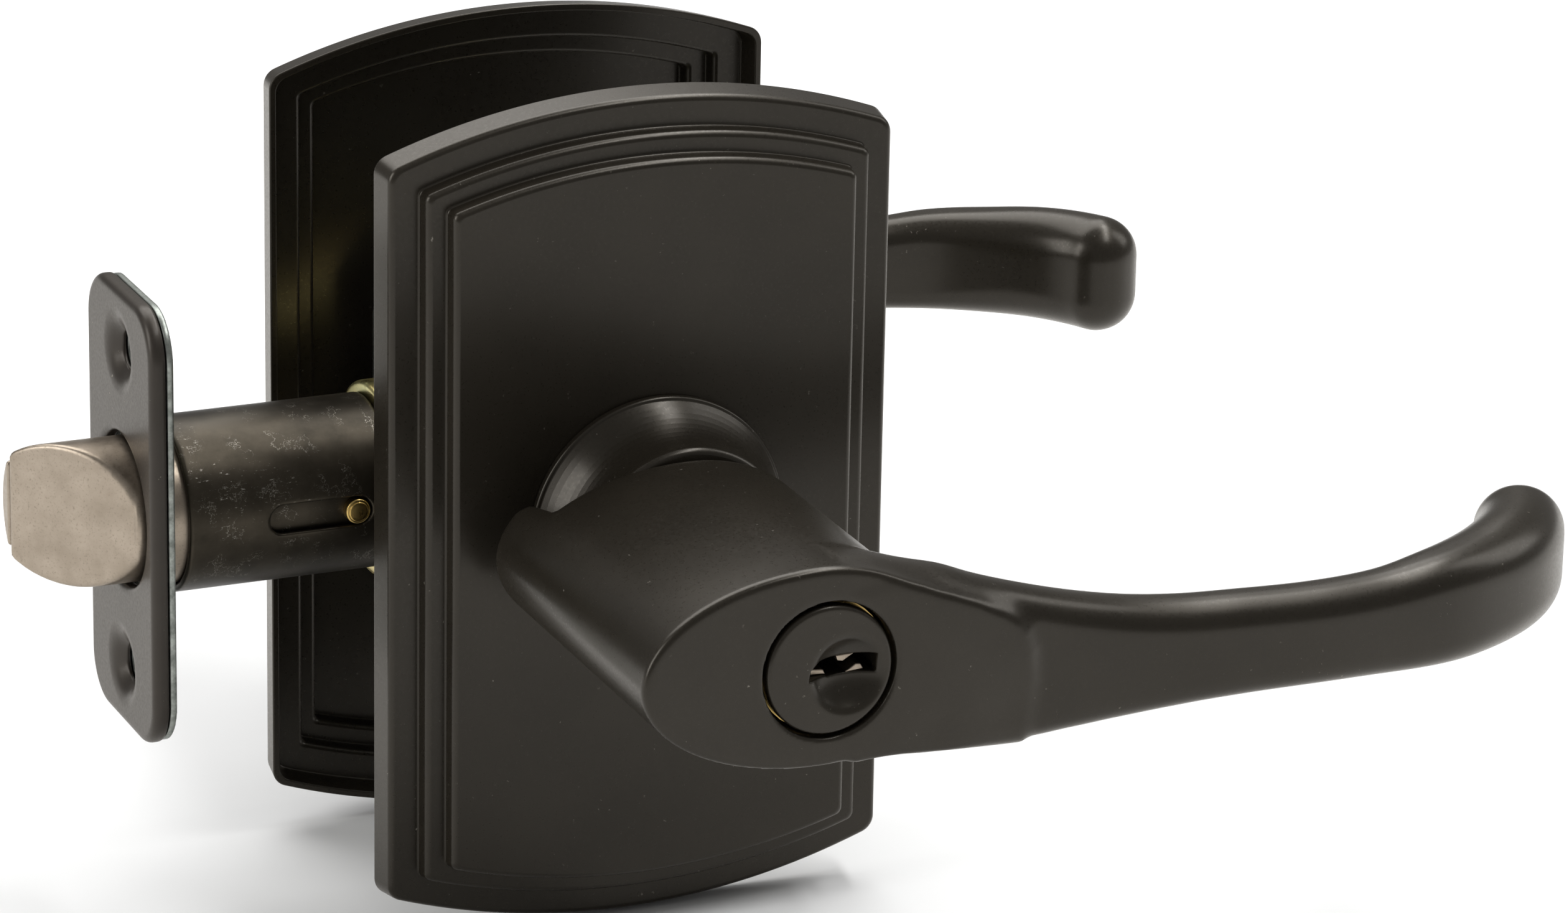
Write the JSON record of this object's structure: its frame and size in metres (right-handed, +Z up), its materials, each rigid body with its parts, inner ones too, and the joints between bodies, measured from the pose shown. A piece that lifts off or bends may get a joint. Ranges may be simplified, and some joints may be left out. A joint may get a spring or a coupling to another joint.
{
  "type": "lever handle lockset",
  "caption": "Keyed entry lever lockset: arched stepped roses, curved levers, key cylinder, turn button and an adjustable spring latch with bolt and faceplate.",
  "frame": {"origin": "spindle axis at the middle of the door's thickness, the centre of the cross bore", "axes": "-Y to the outside (keyed) face of the door, +Y to the inside, -X to the door edge where the bolt comes out, +X the way the levers point, +Z up"},
  "size_m": [0.183, 0.1732, 0.1082],
  "materials": {
    "bronze_black": "satin dark bronze-black plated and lacquered finish",
    "bronze_black_plate": "lighter dark bronze finish of the latch faceplate",
    "satin_nickel": "warm satin nickel, fine tumbled speckle",
    "dark_steel": "dark plated steel with fine bright scratches",
    "zinc_plate": "bright zinc plate, slightly mottled",
    "yellow_zinc": "yellow passivated zinc, faint iridescence",
    "brass": "machined brass",
    "spring_steel": "drawn spring wire"
  },
  "bodies": {
    "chassis": {"outer_rose": "bronze_black", "outer_neck": "bronze_black", "outer_mounting_plate": "zinc_plate", "outer_return_spring": "spring_steel", "inner_rose": "bronze_black", "inner_neck": "bronze_black", "inner_mounting_plate": "zinc_plate", "inner_return_spring": "spring_steel", "upper_mounting_screw": "zinc_plate", "lower_mounting_screw": "zinc_plate", "latch_tube": "dark_steel", "retractor_case": "yellow_zinc"},
    "outer_lever_body": {"outer_lever": "bronze_black", "outer_spindle": "zinc_plate", "outer_lever_catch": "spring_steel", "cylinder_housing": "brass"},
    "key_plug": {"cylinder_plug": "bronze_black", "plug_clip": "spring_steel", "tailpiece": "satin_nickel"},
    "inner_lever_body": {"inner_lever": "bronze_black", "inner_spindle": "zinc_plate", "inner_lever_catch": "spring_steel"},
    "turn_button_body": {"turn_button": "bronze_black", "lock_shaft": "satin_nickel"},
    "cam": {"cam_hub": "zinc_plate"},
    "retractor_body": {"retractor": "zinc_plate"},
    "latch_front": {"latch_faceplate": "bronze_black_plate", "latch_back_plate": "zinc_plate", "latch_sleeve": "satin_nickel", "backset_pin": "brass", "bolt_spring": "spring_steel"},
    "bolt_body": {"bolt": "satin_nickel"},
    "deadlatch": {"deadlatch_plunger": "satin_nickel"}
  },
  "joints": [
    {"name": "inner_lever_turn", "type": "hinge", "parent": "chassis", "child": "inner_lever_body", "pos_m": [0, 0.06, 0], "axis": [0, 1, 0], "range_deg": [0, 50], "stiffness_Nm_per_rad": 1, "springref_deg": -22.92},
    {"name": "outer_lever_turn", "type": "hinge", "parent": "chassis", "child": "outer_lever_body", "pos_m": [0, -0.06, 0], "axis": [0, 1, 0], "range_deg": [0, 50], "stiffness_Nm_per_rad": 1, "springref_deg": -22.92},
    {"name": "cam_turn", "type": "hinge", "parent": "chassis", "child": "cam", "pos_m": [0, 0, 0], "axis": [0, 1, 0], "range_deg": [0, 50]},
    {"name": "retractor_slide", "type": "slide", "parent": "chassis", "child": "retractor_body", "axis": [1, 0, 0], "range_m": [0, 0.0127]},
    {"name": "backset_slide", "type": "slide", "parent": "chassis", "child": "latch_front", "axis": [-1, 0, 0], "range_m": [0, 0.0095]},
    {"name": "bolt_slide", "type": "slide", "parent": "latch_front", "child": "bolt_body", "axis": [1, 0, 0], "range_m": [0, 0.0127], "stiffness_N_per_m": 150, "springref_m": -0.02, "deforming": ["bolt_spring"]},
    {"name": "deadlatch_slide", "type": "slide", "parent": "bolt_body", "child": "deadlatch", "axis": [1, 0, 0], "range_m": [0, 0.0105], "stiffness_N_per_m": 60, "springref_m": -0.015},
    {"name": "key_turn", "type": "hinge", "parent": "outer_lever_body", "child": "key_plug", "pos_m": [0, -0.08, 0], "axis": [0, 1, 0], "range_deg": [-90, 90]},
    {"name": "button_turn", "type": "hinge", "parent": "inner_lever_body", "child": "turn_button_body", "pos_m": [0, 0.082, 0], "axis": [0, 1, 0], "range_deg": [0, 90]}
  ],
  "couplings": [
    {"joint": "outer_lever_turn", "follows": "inner_lever_turn", "ratio": 1},
    {"joint": "cam_turn", "follows": "inner_lever_turn", "ratio": 1},
    {"joint": "retractor_slide", "follows": "inner_lever_turn", "m_per_rad": 0.01455},
    {"joint": "bolt_slide", "follows": "inner_lever_turn", "m_per_rad": 0.01455}
  ]
}
